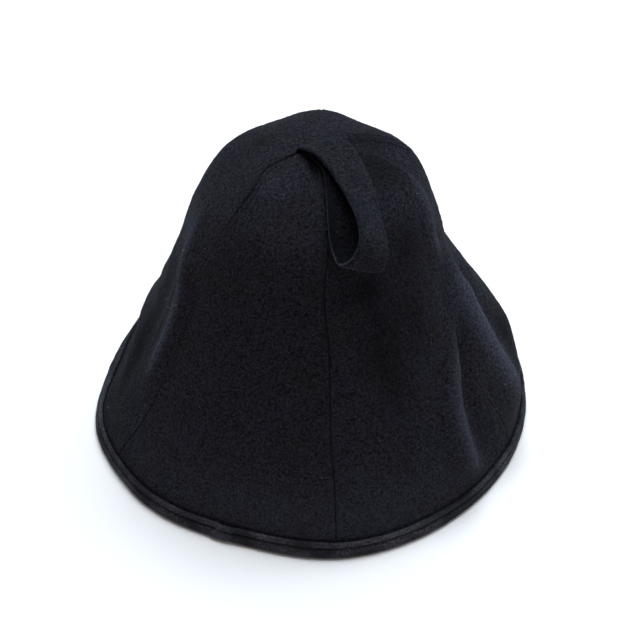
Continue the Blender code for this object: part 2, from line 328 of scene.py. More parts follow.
# The strap's cut: how far its edges curl, how square they are and how thin.
LOOP_CURL = 0.5
EDGE_SQUARENESS = 14
EDGE_THINNEST = 0.3
STRAP_BUCKLE = 0.22
STRAP_GRAIN = 0.16

# Loose fibres root above one height, and none reaches below the other.
FIBRES_ABOVE = 3.0
FIBRES_LOWEST = 0.2

# The photograph's view: what it looks at, how high and from how far.
CAMERA_TARGET = (6.1, 0.0, 76.0)
CAMERA_ELEVATION = 42.5
CAMERA_DISTANCE = 1500.0
CAMERA_LENS = 124.7
CAMERA_SENSOR = 36.0

# Sizes in the materials: the clouds of uneven dye, clumps of matted fibres and
# how far they stand up, a loose fibre's change of tone, the floor's unevenness and
# the thread's twist.
DYE_CLOUD = 25.0
FIBRE_CLUMP = 1.3
NAP_HEIGHT = 0.45
FIBRE_TONE = 2.5
FLOOR_CLOUD = 500.0
THREAD_TWIST = 0.349

# Colours that are no setting: the painted shade in the thread's hollows, the bloom on the felt, the two
# tones of the floor and the light of the room.
THREAD_HOLLOW_SHADE = "060608"
BLOOM_TINT = "7d8596"
FLOOR_TONES = ("f0ebe9", "f3efed")
ROOM_LIGHT = "fff8f5"
ROOM_STRENGTH = 0.23

# The studio lights: name, place in metres, width in metres, watts, colour.
SOFTBOXES = (
    ("top_softbox", (0.25, 0.65, 2.35), 1.8, 92.0, "e4f1fb"),
    ("left_softbox", (-2.0, 0.3, 1.2), 1.5, 4.0, "e8f2fc"),
    ("right_softbox", (2.0, 0.3, 1.2), 1.5, 14.0, "e8f2fc"),
)


class HatSettings(bpy.types.PropertyGroup):
    """Sizes and colours of the hat's looks."""

    felt_colour: bpy.props.StringProperty(
        name="Felt", description="Colour of the wool felt, as sRGB hex", default="09090b")
    felt_fleck_colour: bpy.props.StringProperty(
        name="Felt flecks", description="Colour of the paler wool in the felt", default="2a2932")
    felt_warm_colour: bpy.props.StringProperty(
        name="Warm flecks", description="Colour of the paler wool with less blue dye", default="2a282c")
    # Painted shade: the colour laid where shade falls, in creases, under and inside the loop and on darker
    # patches of the felt.
    felt_pressed_colour: bpy.props.StringProperty(
        name="Pressed felt", description="Colour of nap that is pressed flat", default="060607")
    # Painted highlight: the colour laid along the crests of folds and on lighter patches of the felt.
    felt_rubbed_colour: bpy.props.StringProperty(
        name="Rubbed felt", description="Colour of nap that folds have rubbed", default="4a4c58")
    tape_colour: bpy.props.StringProperty(
        name="Rim tape", description="Colour of the tape round the rim", default="1e1e21")
    tape_fleck_colour: bpy.props.StringProperty(
        name="Tape flecks", description="Colour of the paler wool in the tape", default="504e55")
    strap_fleck_colour: bpy.props.StringProperty(
        name="Loop flecks", description="Colour of the paler wool in the loop", default="20202a")
    thread_colour: bpy.props.StringProperty(
        name="Thread", description="Colour of the sewing thread", default="0d0d10")
    # Painted highlight on the loop's cut edges and along the tape's bead, the paler tone of the tape's
    # lapped end, and the darker tone of the lint.
    highlight_and_lint_colour: bpy.props.StringProperty(
        name="Worn edge", description="Colour of the worn edges of the loop and the tape", default="43464e")
    lint_colour: bpy.props.StringProperty(
        name="Lint", description="Colour of the specks of lint", default="a9abb0")
    undulation: bpy.props.FloatProperty(
        name="Buckling", description="How far the felt buckles between its seams",
        default=0.55 * MM, unit="LENGTH", subtype="DISTANCE")
    grain: bpy.props.FloatProperty(
        name="Grain", description="Height of the felt's lumps and pills",
        default=0.16 * MM, unit="LENGTH", subtype="DISTANCE")
    seam_pull: bpy.props.FloatProperty(
        name="Seam pull", description="How hard the thread pulls the seams in", default=1.0, min=0.0)
    stitch_pitch: bpy.props.FloatProperty(
        name="Stitch pitch", description="Length of one stitch with its gap",
        default=3.2 * MM, unit="LENGTH", subtype="DISTANCE")
    fuzz_count: bpy.props.IntProperty(
        name="Fibres", description="How many loose wool fibres stand out of the felt",
        default=15000, min=0)
    fuzz_length: bpy.props.FloatProperty(
        name="Fibre length", description="Mean length of a loose fibre",
        default=1.5 * MM, unit="LENGTH", subtype="DISTANCE")
    lint_count: bpy.props.IntProperty(
        name="Lint", description="How many specks of lint lie on the hat", default=160, min=0)


def settings():
    """The hat's settings, with their defaults until a user changes them."""
    return bpy.context.scene.hat_settings


def smooth_step(u):
    """Rise from 0 to 1 with level ends."""
    u = np.clip(u, 0.0, 1.0)
    return u * u * (3.0 - 2.0 * u)


def hump(distance, reach):
    """1 where the distance is 0, fading out smoothly past the reach."""
    return np.exp(-(distance / reach) ** 2)


def turn_from(turns, middle):
    """How far turns lie from a middle one, from -180 to 180."""
    return (turns - middle + 180.0) % 360.0 - 180.0


def outward(turns, rise=0.0):
    """Directions out of the hat at many turns, level but for a rise."""
    a = np.radians(turns)
    return np.stack([np.sin(a), -np.cos(a), np.full_like(a, rise)], axis=1)


def slope_at(knots, values, i):
    """The slope of a smooth curve through the values at knot i."""
    first = max(0, i - 1)
    last = min(len(knots) - 1, i + 1)
    if first == i or last == i:
        return (values[last] - values[first]) / (knots[last] - knots[first])
    before = knots[i] - knots[first]
    after = knots[last] - knots[i]
    rise_in = (values[i] - values[first]) / before
    rise_out = (values[last] - values[i]) / after
    return (rise_in * after + rise_out * before) / (before + after)


def curve_value(knots, values, place):
    """Read a smooth curve through the values at a place between the knots."""
    place = min(knots[-1], max(knots[0], place))
    k = 0
    while k < len(knots) - 2 and knots[k + 1] < place:
        k += 1
    span = knots[k + 1] - knots[k]
    u = (place - knots[k]) / span
    start_slope = slope_at(knots, values, k) * span
    end_slope = slope_at(knots, values, k + 1) * span
    return ((2 * u**3 - 3 * u**2 + 1) * values[k] + (u**3 - 2 * u**2 + u) * start_slope
            + (3 * u**2 - 2 * u**3) * values[k + 1] + (u**3 - u**2) * end_slope)


def lengths_along(points):
    """How far along a line of points each one lies."""
    lengths = [0.0]
    for a, b in zip(points, points[1:]):
        lengths.append(lengths[-1] + math.dist(a, b))
    return lengths


# How far up the felt wall each section lies, measured along the felt.
WALL_PLACES = lengths_along([section[1:3] for section in SECTIONS])
WALL_LENGTH = WALL_PLACES[-1]


def section_at(place):
    """Height, half width, half depth, shift x, shift y and sag at a place up the wall.

    Past the top of the wall the section closes up into the apex.
    """
    row = [curve_value(WALL_PLACES, [section[c] for section in SECTIONS], place) for c in range(1, 7)]
    if place > WALL_LENGTH:
        row[1] = max(CLOSED_RADIUS, row[1] - (place - WALL_LENGTH))
        row[2] = row[1]
        row[0] -= APEX_DIP * (place - WALL_LENGTH)
    return row


def seam_turn(seam, place):
    """The turn at which a seam lies, at a place up the wall."""
    return curve_value(SEAM_PLACES, SEAMS[seam], place / WALL_LENGTH)


def folds_at(turns, height):
    """The folds at a height: name, strength, turns away from the crest, how far out, half width."""
    for name, low, high, turn_low, turn_middle, turn_high, out, spread in FOLDS:
        if low < height < high:
            u = (height - low) / (high - low)
            crest = turn_low * (1 - u) * (1 - 2 * u) + turn_middle * 4 * u * (1 - u)
            crest += turn_high * u * (2 * u - 1)
            away = turn_from(turns, crest)
            fade = smooth_step(u / FOLD_FADE) * smooth_step((1 - u) / FOLD_FADE)
            yield name, fade, away, out, spread


def fold_out(turns, height):
    """How far the folds and dents push the felt out, at many turns and one height."""
    total = np.zeros_like(turns)
    for _, fade, away, out, spread in folds_at(turns, height):
        bulge = np.cos(0.5 * math.pi * away / spread) ** 2
        total += np.where(np.abs(away) < spread, out * fade * bulge, 0.0)
    return total


def crest_relief(turns, height, radius):
    """How far the pinched crests of the ridges stand out of the folds, and how strong the painted highlight
    along them is.
    """
    relief = np.zeros_like(turns)
    rubbed = np.zeros_like(turns)
    for name, fade, away, _, _ in folds_at(turns, height):
        if name in CRESTS:
            out, shift, before, after, pale = CRESTS[name]
            distance = np.radians(away) * radius - shift
            crest = fade ** 2 * hump(distance, np.where(distance < 0.0, before, after))
            relief += out * crest
            # Painted highlight along the crest.
            rubbed += pale * crest
    return relief, rubbed


def gore_sag(turns, place):
    """0 on a seam and 1 half way between two seams, at many turns."""
    starts = np.array([seam_turn(seam, place) for seam in SEAM_ORDER])
    ends = np.append(starts[1:], starts[0] + 360.0)
    sag = np.zeros_like(turns)
    for start, end in zip(starts, ends):
        u = ((turns - start) % 360.0) / (end - start)
        sag = np.where(u <= 1.0, np.sin(math.pi * u) ** 2, sag)
    return sag


def felt_row(turns, place):
    """Points of the felt's outer surface, at many turns and one place up the wall."""
    turns = np.asarray(turns, float)
    height, half_x, half_y, shift_x, shift_y, sag = section_at(place)
    lower = section_at(max(0.0, place - 1.0))
    upper = section_at(min(WALL_LENGTH, place + 1.0))
    if place >= WALL_LENGTH:
        lower = section_at(WALL_LENGTH - 2.0)
    rise = upper[0] - lower[0]
    inward = lower[1] - upper[1]
    length = math.hypot(rise, inward)
    out = fold_out(turns, height) - sag * gore_sag(turns, place)
    level = out * rise / length
    lift = out * inward / length * float(smooth_step(height / LEVEL_HEIGHT))
    a = np.radians(turns)
    return np.stack([shift_x + (half_x + level) * np.sin(a),
                     shift_y - (half_y + level) * np.cos(a),
                     height + lift], axis=1)


def lattice(cells, seed):
    """A repeatable random number from -1 to 1 for each cell of a grid in space."""
    cells = cells.astype(np.int64).astype(np.uint64)
    mixed = (cells[..., 0] * np.uint64(374761393) + cells[..., 1] * np.uint64(668265263)
             + cells[..., 2] * np.uint64(2246822519) + np.uint64(seed * 3266489917))
    mixed &= np.uint64(0xFFFFFFFF)
    mixed = ((mixed ^ (mixed >> np.uint64(13))) * np.uint64(1274126177)) & np.uint64(0xFFFFFFFF)
    mixed ^= mixed >> np.uint64(16)
    return mixed.astype(float) / 2147483647.5 - 1.0


def lumps(points, size, seed):
    """Soft random lumps of a size in mm, from -1 to 1, at many points in mm."""
    scaled = points / size + 1000.0
    cells = np.floor(scaled)
    u = scaled - cells
    u = u * u * (3.0 - 2.0 * u)
    total = np.zeros(points.shape[:-1])
    for corner in range(8):
        step = np.array([corner & 1, (corner >> 1) & 1, (corner >> 2) & 1])
        weight = np.prod(np.where(step == 1, u, 1.0 - u), axis=-1)
        total += weight * lattice(cells + step, seed)
    return total


def grid_normals(points):
    """Unit normals of a grid of points, rows by columns."""
    across = np.gradient(points, axis=1)
    along = np.gradient(points, axis=0)
    normals = np.cross(across, along)
    return normals / np.maximum(np.linalg.norm(normals, axis=-1, keepdims=True), 1e-12)


def grid_faces(rows, columns, first=0, flip=False, closed_rows=False, closed_columns=False):
    """Quads of a grid of points numbered row by row."""
    index = np.arange(rows * columns).reshape(rows, columns) + first
    if closed_rows:
        index = np.vstack([index, index[:1]])
    if closed_columns:
        index = np.hstack([index, index[:, :1]])
    quads = np.stack([index[:-1, :-1], index[:-1, 1:], index[1:, 1:], index[1:, :-1]], axis=-1)
    quads = quads.reshape(-1, 4)
    return quads[:, ::-1] if flip else quads


def new_piece(name, points, faces, material):
    """A smoothly shaded mesh object from points in mm, riding on the hat."""
    mesh = bpy.data.meshes.new(name)
    mesh.from_pydata((np.asarray(points) * MM).tolist(), [], [list(map(int, face)) for face in faces])
    mesh.validate()
    mesh.materials.append(material)
    mesh.shade_smooth()
    piece = bpy.data.objects.new(name, mesh)
    bpy.context.scene.collection.objects.link(piece)
    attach(piece, "root")
    return piece


def to_linear(hex_colour):
    """An sRGB hex colour as linear red, green, blue and alpha."""
    values = [int(hex_colour[i:i + 2], 16) / 255 for i in (0, 2, 4)]
    return [v / 12.92 if v <= 0.04045 else ((v + 0.055) / 1.055) ** 2.4 for v in values] + [1.0]


def plug(material, node, values, links):
    """Set a node's socket values and link its inputs."""
    for key, value in (values or {}).items():
        node.inputs[key].default_value = value
    for key, socket in (links or {}).items():
        material.node_tree.links.new(socket, node.inputs[key])


def add_node(material, kind, values=None, links=None, ramp=(), **attributes):
    """Add a node, set its attributes, socket values and colour ramp, and link its inputs."""
    node = material.node_tree.nodes.new(kind)
    for key, value in attributes.items():
        setattr(node, key, value)
    for k, (position, colour) in enumerate(ramp):
        node.color_ramp.elements[k].position = position
        node.color_ramp.elements[k].color = to_linear(colour)
    plug(material, node, values, links)
    return node


def new_material(name):
    """An empty node material with its shader."""
    material = bpy.data.materials.new(name)
    material.use_nodes = True
    return material, material.node_tree.nodes["Principled BSDF"]


def felt_material(name, dark, pale, rubbed, fleck_mm, bloom):
    """Milled wool felt: dark dyed fibres matted with paler ones, matt, with a faint bloom.

    The eye sees the paler flecks, painted shade where a piece is marked shaded, a painted
    highlight where it is marked lit, and the bloom at grazing angles, which the painted shade weakens.
    """
    material, shader = new_material(name)
    place = add_node(material, "ShaderNodeTexCoord").outputs["Object"]
    patterns = []
    for size, detail, roughness in ((fleck_mm, 3.0, 0.78), (DYE_CLOUD, 2.0, 0.5), (FIBRE_CLUMP, 4.0, 0.75)):
        values = {"Scale": 1.0 / (size * MM), "Detail": detail, "Roughness": roughness}
        patterns.append(add_node(material, "ShaderNodeTexNoise", values, {"Vector": place}).outputs["Fac"])
    flecks, cloud, fibres = patterns
    # The marks of painted highlight and painted shade that each piece carries.
    marks = []
    for mark in ("rubbed", "pressed"):
        marks.append(add_node(material, "ShaderNodeAttribute", attribute_name=mark,
                              attribute_type="GEOMETRY").outputs["Fac"])
    highlighting, shading = marks
    share = add_node(material, "ShaderNodeMapRange", {"From Min": 0.36, "From Max": 0.66},
                     {"Value": flecks}).outputs["Result"]
    wool = add_node(material, "ShaderNodeValToRGB", None, {"Fac": cloud},
                    ramp=((0.38, settings().felt_warm_colour), (0.62, pale))).outputs["Color"]
    matted = add_node(material, "ShaderNodeMix", {6: to_linear(dark)}, {0: share, 7: wool},
                      data_type="RGBA").outputs[2]
    # Painted shade: the tone goes towards the shade colour where a piece is marked shaded.
    flat = add_node(material, "ShaderNodeMix", {7: to_linear(settings().felt_pressed_colour)},
                    {0: shading, 6: matted}, data_type="RGBA").outputs[2]
    # Painted highlight: the tone goes towards the highlight colour, patchy with the flecks.
    patchy = add_node(material, "ShaderNodeMapRange", {"To Min": 0.3}, {"Value": share}).outputs["Result"]
    highlit = add_node(material, "ShaderNodeMath", None, {0: highlighting, 1: patchy},
                    operation="MULTIPLY").outputs[0]
    tone = add_node(material, "ShaderNodeMix", {7: to_linear(rubbed)}, {0: highlit, 6: flat},
                    data_type="RGBA").outputs[2]
    # The bloom is weaker under the painted shade.
    unshaded = add_node(material, "ShaderNodeMapRange", {"To Min": 1.0, "To Max": 0.2},
                      {"Value": shading}).outputs["Result"]
    uneven = add_node(material, "ShaderNodeMapRange", {"To Min": 0.3 * bloom, "To Max": 1.7 * bloom},
                      {"Value": share}).outputs["Result"]
    sheen = add_node(material, "ShaderNodeMath", None, {0: uneven, 1: unshaded},
                     operation="MULTIPLY").outputs[0]
    nap = add_node(material, "ShaderNodeBump", {"Strength": 1.0, "Distance": NAP_HEIGHT * MM},
                   {"Height": fibres}).outputs["Normal"]
    plug(material, shader, {"Roughness": 0.95, "Specular IOR Level": 0.03, "Sheen Roughness": 0.5,
                            "Sheen Tint": to_linear(BLOOM_TINT)},
         {"Base Color": tone, "Sheen Weight": sheen, "Normal": nap})
    return material


def thread_material(name, colour):
    """Spun polyester sewing thread: dark, with a slight gloss along its twist."""
    material, shader = new_material(name)
    place = add_node(material, "ShaderNodeTexCoord").outputs["Object"]
    # A wave of scale 1 repeats every 2 pi / 20 metres.
    twist = add_node(material, "ShaderNodeTexWave", {"Scale": math.pi / (10.0 * THREAD_TWIST * MM),
                     "Distortion": 1.0}, {"Vector": place}).outputs["Fac"]
    # Painted shade in the hollows of the twist.
    tone = add_node(material, "ShaderNodeValToRGB", None, {"Fac": twist},
                    ramp=((0.0, THREAD_HOLLOW_SHADE), (1.0, colour))).outputs["Color"]
    strands = add_node(material, "ShaderNodeBump", {"Strength": 0.5, "Distance": 0.1 * MM},
                       {"Height": twist}).outputs["Normal"]
    plug(material, shader, {"Roughness": 0.6, "Specular IOR Level": 0.2},
         {"Base Color": tone, "Normal": strands})
    return material


def fibre_material(name, dark, pale):
    """Loose wool fibres: thin and slightly see-through, so paler than the felt they come from."""
    material, shader = new_material(name)
    place = add_node(material, "ShaderNodeTexCoord").outputs["Object"]
    vary = add_node(material, "ShaderNodeTexNoise", {"Scale": 1.0 / (FIBRE_TONE * MM), "Detail": 2.0},
                    {"Vector": place}).outputs["Fac"]
    tone = add_node(material, "ShaderNodeValToRGB", None, {"Fac": vary},
                    ramp=((0.35, dark), (0.65, pale))).outputs["Color"]
    plug(material, shader, {"Roughness": 0.7, "Sheen Weight": 0.1}, {"Base Color": tone})
    return material


def floor_material(name):
    """Painted studio floor: pale, matt and almost even."""
    material, shader = new_material(name)
    place = add_node(material, "ShaderNodeTexCoord").outputs["Object"]
    vary = add_node(material, "ShaderNodeTexNoise", {"Scale": 1.0 / (FLOOR_CLOUD * MM)},
                    {"Vector": place}).outputs["Fac"]
    tone = add_node(material, "ShaderNodeValToRGB", None, {"Fac": vary},
                    ramp=((0.0, FLOOR_TONES[0]), (1.0, FLOOR_TONES[1]))).outputs["Color"]
    plug(material, shader, {"Roughness": 0.9, "Specular IOR Level": 0.1}, {"Base Color": tone})
    return material


def gore_rows():
    """Places of a gore's rows: close together at the tape's edge, then evenly up to the apex."""
    places = np.concatenate([np.linspace(FELT_EDGE, UNDER_TAPE_TOP, UNDER_TAPE_ROWS),
                             np.arange(*TAPE_EDGE_PLACES),
                             np.linspace(WALL_START, WALL_LENGTH + PAST_APEX, WALL_ROWS)])
    spare = (len(places) - 1) % THIN_EVERY
    first = UNDER_TAPE_ROWS + 1
    return np.delete(places, np.arange(first, first + spare))


def seam_relief(distance, place, seam, side):
    """How far the felt stands out beside a seam, at distances from it in mm."""
    depth = settings().seam_pull * curve_value(SEAM_PLACES, SEAM_DEPTHS[seam], place / WALL_LENGTH)
    welt = WELT_RISE * hump(distance - WELT_AWAY, WELT_REACH)
    relief = welt - depth * hump(distance, GROOVE_REACH + GROOVE_SPREAD * depth)
    seed = SEAM_ORDER.index(seam) + 1
    along = np.array([[place, seed * 7.3, 0.0]])
    relief += PUCKER_RISE * float(lumps(along, PUCKER_LENGTH, seed)[0]) * hump(distance, PUCKER_REACH)
    if TOPSTITCHED.get(seam) == side:
        dimple = 0.5 - 0.5 * math.cos(2.0 * math.pi * place * MM / settings().stitch_pitch)
        relief -= (TOPSTITCH_SINK + DIMPLE_SINK * dimple) * hump(distance - TOPSTITCH_AWAY, TOPSTITCH_REACH)
    return relief


def light_patches(turns, place, radius):
    """How much painted highlight, or below 0 painted shade, the patches lay on the felt, at many turns and
    one place.
    """
    nap = np.zeros_like(turns)
    for _, turn, middle, across, along, strength in LIGHT_PATCHES:
        distance = np.radians(turn_from(turns, turn)) * radius
        nap += strength * hump(distance, across) * hump(place - middle, along)
    return nap


def gore_grid(start_seam, end_seam):
    """Smooth points of a gore, the relief of its seams, crests and tape edge, and its painted highlight and
    shade.
    """
    places = gore_rows()
    edge = np.array(SEAM_COLUMNS)
    points = []
    relief = []
    nap = []
    for place in places:
        radius = max(CLOSED_RADIUS, section_at(place)[1])
        start = seam_turn(start_seam, place)
        end = seam_turn(end_seam, place)
        if end < start:
            end += 360.0
        width = math.radians(end - start) * radius
        reach = min(1.0, CLOSE_SHARE * width / edge[-1])
        near = edge * reach
        middle = np.linspace(near[-1], width - near[-1], MIDDLE_COLUMNS + 1)[1:-1]
        across = np.concatenate([near, middle, width - near[::-1]])
        gap = min(SEAM_GAP, SEAM_GAP_SHARE * width)
        turns = start + (end - start) * np.clip(across, gap, width - gap) / width
        points.append(felt_row(turns, place))
        fade = float(smooth_step((place - RELIEF_FROM) / RELIEF_FADE)) * reach
        row = fade * seam_relief(across, place, start_seam, 1)
        row += fade * seam_relief(width - across, place, end_seam, -1)
        crests, rubbed = crest_relief(turns, section_at(place)[0], radius)
        filled = hump(turn_from(turns, FILLED_TURN), FILLED_SPREAD)
        row += crests - CREVICE * (1.0 - 2.0 * filled) * hump(place - CREVICE_PLACE, CREVICE_REACH)
        relief.append(row)
        # Painted highlight along the crests and in the patches, and painted shade where the sum is below 0.
        nap.append(rubbed + light_patches(turns, place, radius))
    return np.array(points), np.array(relief), np.array(nap), places


def mark_surface(piece, **marks):
    """Keep numbers for each corner point of a piece, by name, for its material to read."""
    for name, values in marks.items():
        attribute = piece.data.attributes.new(name, "FLOAT", "POINT")
        attribute.data.foreach_set("value", np.asarray(values).reshape(-1).astype(np.float32))


def closed_sheet(name, outer, inner, material):
    """A closed sheet: a fine outer grid, a coarser inner one, and rims between them."""
    first = outer.shape[0] * outer.shape[1]
    faces = grid_faces(*outer.shape[:2]).tolist()
    faces += grid_faces(*inner.shape[:2], first, flip=True).tolist()
    fine = np.arange(first).reshape(outer.shape[:2])
    coarse = np.arange(inner.shape[0] * inner.shape[1]).reshape(inner.shape[:2]) + first
    low_and_high = ((fine[0], coarse[0], True), (fine[-1], coarse[-1], False))
    start_and_end = ((fine[:, 0], coarse[:, 0], False), (fine[:, -1], coarse[:, -1], True))
    for edges in (low_and_high, start_and_end):
        for k in range(len(edges[0][1]) - 1):
            for fine_edge, coarse_edge, flip in edges:
                strip = fine_edge[THIN_EVERY * k:THIN_EVERY * (k + 1) + 1].tolist()
                ends = [coarse_edge[k + 1], coarse_edge[k]]
                faces.append(strip[::-1] + ends[::-1] if flip else strip + ends)
    points = np.concatenate([outer.reshape(-1, 3), inner.reshape(-1, 3)])
    return new_piece(name, points, faces, material)


def felt_grain(points):
    """The felt's own surface: slow buckles, soft lumps and fine pills."""
    total = settings().undulation / MM * lumps(points, BUCKLE_SIZE, BUCKLE_SEED)
    for _, height, size, seed in FELT_LUMPS:
        total += height * settings().grain / MM * lumps(points, size, seed)
    return total


class HAT_OT_felt_gores(bpy.types.Operator):
    """Lay the six felt gores, with their pressed seams and topstitching"""

    bl_idname = "hat.felt_gores"
    bl_label = "Felt Gores"

    def execute(self, context):
        felt = felt_material("milled_wool_felt", settings().felt_colour, settings().felt_fleck_colour,
                             settings().felt_rubbed_colour, fleck_mm=1.6, bloom=0.06)
        for node, start_seam, end_seam in GORES:
            smooth_points, relief, nap, places = gore_grid(start_seam, end_seam)
            normals = grid_normals(smooth_points)
            loose = smooth_step((WALL_LENGTH - places) / CALM_BELOW_APEX)[:, None]
            loose = loose * smooth_step((places - TAPE_HEIGHT) / CALM_ABOVE_TAPE)[:, None]
            out = relief + felt_grain(smooth_points) * loose
            outer = smooth_points + normals * out[..., None]
            from_start = np.linalg.norm(smooth_points - smooth_points[:, :1], axis=-1)
            from_end = np.linalg.norm(smooth_points - smooth_points[:, -1:], axis=-1)
            from_seam = np.minimum(from_start, from_end)
            folded_back = 1.0 - smooth_step((from_seam - ALLOWANCE_WIDTH) / ALLOWANCE_FADE)
            thickness = FELT + ALLOWANCE * folded_back * loose
            inner = (smooth_points - normals * thickness[..., None])[::THIN_EVERY, ::THIN_EVERY]
            piece = closed_sheet("felt_" + node, outer, inner, felt)
            # Painted highlight where the mark is above 0, painted shade where it is below.
            unmarked = np.zeros(inner.shape[0] * inner.shape[1])
            mark_surface(piece, rubbed=np.append(np.clip(nap, 0.0, 1.0), unmarked),
                         pressed=np.append(np.clip(-nap, 0.0, 1.0), unmarked))
            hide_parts(node)
        return {"FINISHED"}


def tape_points(turns, outs, heights):
    """Points on the tape, from how far out of the felt's lowest strip they are and how high."""
    low = felt_row(turns, FELT_EDGE)
    high = felt_row(turns, ABOVE_TAPE)
    rise = high[:, 2] - low[:, 2]
    slant = np.linalg.norm(high - low, axis=1) / rise
    share = (heights - low[:, 2]) / rise
    return low + (high - low) * share[:, None] + outward(turns) * (outs * slant)[:, None]


def rim_stitches():
    """How many stitches go round the rim."""
    return round(2.0 * math.pi * RIM_RADIUS * MM / settings().stitch_pitch)


def tape_profile(rows):
    """The tape's outer outline, smooth and evenly divided: out and height."""
    knots = lengths_along([point[1:] for point in TAPE_PROFILE])
    outline = []
    for k in range(rows):
        place = knots[-1] * k / (rows - 1)
        out = curve_value(knots, [point[1] for point in TAPE_PROFILE], place)
        height = max(0.0, curve_value(knots, [point[2] for point in TAPE_PROFILE], place))
        outline.append((out, height))
    return np.array(outline)


class HAT_OT_rim_tape(bpy.types.Operator):
    """Fold the tape over the rim, with its stitched groove and lapped ends"""

    bl_idname = "hat.rim_tape"
    bl_label = "Rim Tape"

    def execute(self, context):
        turns = np.arange(TAPE_STATIONS) * 360.0 / TAPE_STATIONS - 180.0
        tension = 0.5 * np.cos(np.radians(turns) * rim_stitches())
        outer = []
        rubbed = []
        pressed = []
        for out, height in tape_profile(TAPE_ROWS):
            outside = out > 0
            level = RIM_RADIUS * outward(turns)
            ring = level + (0.0, 0.0, height)
            foot = float(smooth_step(height / TAPE_FOOT))
            side = foot if outside else INSIDE_WAVE * foot
            wave = sum(rise * lumps(ring, size, seed) for rise, size, seed in TAPE_WAVES)
            pulled = STITCH_PULL * tension * hump(height - STITCH_HEIGHT, STITCH_PULL_REACH) * outside
            away = turns - LAP_TURN - LAP_SLANT * (height / TAPE_HEIGHT - 0.5)
            lap = smooth_step((LAP_HALF_WIDTH - np.abs(away)) / LAP_EDGE) * side * outside
            bead = hump(height - BEAD_HEIGHT, BEAD_REACH) * outside
            patchy = 0.7 + 0.3 * lumps(ring, size=9.0, seed=34)
            # Paler on the lapped end, and a painted highlight along the bead.
            rubbed.append(LAP_PALENESS * lap + BEAD_HIGHLIGHT * bead * patchy)
            # Painted shade in the stitch groove.
            shade_in_groove = GROOVE_SHADE * hump(height - STITCH_HEIGHT, GROOVE_SHADE_REACH) * outside
            pressed.append(np.full_like(turns, shade_in_groove))
            rise, size, seed = EDGE_WAVE
            free = float(smooth_step((height - STITCH_HEIGHT) / FREE_EDGE))
            heights = height + rise * lumps(level, size, seed) * free
            outs = out + side * wave - pulled + LAP_RISE * lap
            outer.append(tape_points(turns, outs, heights))
        outer = np.array(outer)
        normals = grid_normals(np.concatenate([outer, outer[:, :2]], axis=1))[:, :-2]
        inner = outer - normals * (TAPE - CUT_STEP)
        inner[[0, -1], :, 2] = outer[[0, -1], :, 2] - CUT_STEP
        shell = np.concatenate([outer, inner[::-1]])
        faces = grid_faces(2 * TAPE_ROWS, TAPE_STATIONS, closed_rows=True, closed_columns=True)
        material = felt_material("folded_felt_tape", settings().tape_colour, settings().tape_fleck_colour,
                                 settings().highlight_and_lint_colour, fleck_mm=1.5, bloom=0.12)
        piece = new_piece("rim_tape", shell.reshape(-1, 3), faces, material)
        mark_surface(piece, rubbed=np.concatenate([rubbed, np.zeros_like(rubbed)]),
                     pressed=np.concatenate([pressed, np.zeros_like(pressed)]))
        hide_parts("rim_binding")
        return {"FINISHED"}


def loop_light_marks(rows):
    """How strong the painted highlight on the strap's near and far edges is, and the painted shade in its
    crease, row by row.
    """
    knots = np.linspace(0.0, 1.0, len(LOOP_LIGHT_MARKS))
    places = np.linspace(0.0, 1.0, rows)
    return [np.interp(places, knots, [row[c] for row in LOOP_LIGHT_MARKS])[:, None] for c in (1, 2, 3)]


class HAT_OT_hanging_loop(bpy.types.Operator):
    """Fold the felt strap into the hanging loop at the top of the crown"""

    bl_idname = "hat.hanging_loop"
    bl_label = "Hanging Loop"

    def execute(self, context):
        near = np.array([station[1] for station in LOOP_STATIONS])
        far = np.array([station[2] for station in LOOP_STATIONS])
        knots = lengths_along(near)
        share = np.sin(0.5 * math.pi * np.linspace(-1.0, 1.0, LOOP_COLUMNS + 1))
        rows = []
        for k in range(LOOP_ROWS + 1):
            place = knots[-1] * k / LOOP_ROWS
            a = np.array([curve_value(knots, near[:, axis], place) for axis in range(3)])
            b = np.array([curve_value(knots, far[:, axis], place) for axis in range(3)])
            rows.append(a + (b - a) * 0.5 * (1.0 + share[:, None]))
        middle = np.array(rows)
        normals = grid_normals(middle)
        round_edge = np.sqrt(np.clip(1.0 - np.abs(share) ** EDGE_SQUARENESS, 0.0, 1.0))
        half = 0.5 * STRAP * np.maximum(round_edge, EDGE_THINNEST)[None, :]
        curl = LOOP_CURL * (share ** 2)[None, :] + STRAP_BUCKLE * lumps(middle, size=7.0, seed=42)
        above = curl + half + STRAP_GRAIN * lumps(middle, size=2.2, seed=41)
        below = curl - half + STRAP_GRAIN * lumps(middle, size=2.2, seed=43)
        top = middle + normals * above[..., None]
        under = middle + normals * below[..., None]
        ring = np.concatenate([top, under[:, ::-1]], axis=1)
        count = ring.shape[1]
        faces = grid_faces(LOOP_ROWS + 1, count, closed_columns=True).tolist()
        faces.append(list(range(count))[::-1])
        faces.append([LOOP_ROWS * count + k for k in range(count)])
        felt = felt_material("cut_felt_strap", settings().felt_colour, settings().strap_fleck_colour,
                             settings().highlight_and_lint_colour, fleck_mm=1.8, bloom=0.1)
        piece = new_piece("felt_hanging_loop", ring.reshape(-1, 3), faces, felt)
        side = np.concatenate([share, share[::-1]])[None, :]
        ragged = 0.02 * lumps(ring, size=1.6, seed=44)
        near_highlight, far_highlight, crease = loop_light_marks(LOOP_ROWS + 1)
        # Painted highlight along the cut edges.
        highlit = smooth_step((np.abs(side) + ragged - HIGHLIGHT_FROM) / HIGHLIGHT_FADE)
        highlit = highlit * np.where(side < 0, near_highlight, far_highlight)
        # Painted shade on the inner face and in the crease beside the near edge.
        inside = np.concatenate([np.interp(share, (-1.0, 0.5), INNER_SHADES), np.zeros_like(share)])
        shaded = crease * smooth_step((CREASE_REACH - 1.0 - side) / CREASE_REACH)
        mark_surface(piece, rubbed=highlit, pressed=np.maximum(shaded, inside * (np.abs(side[0]) < FACE_END)))
        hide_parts("hanging_loop")
        return {"FINISHED"}


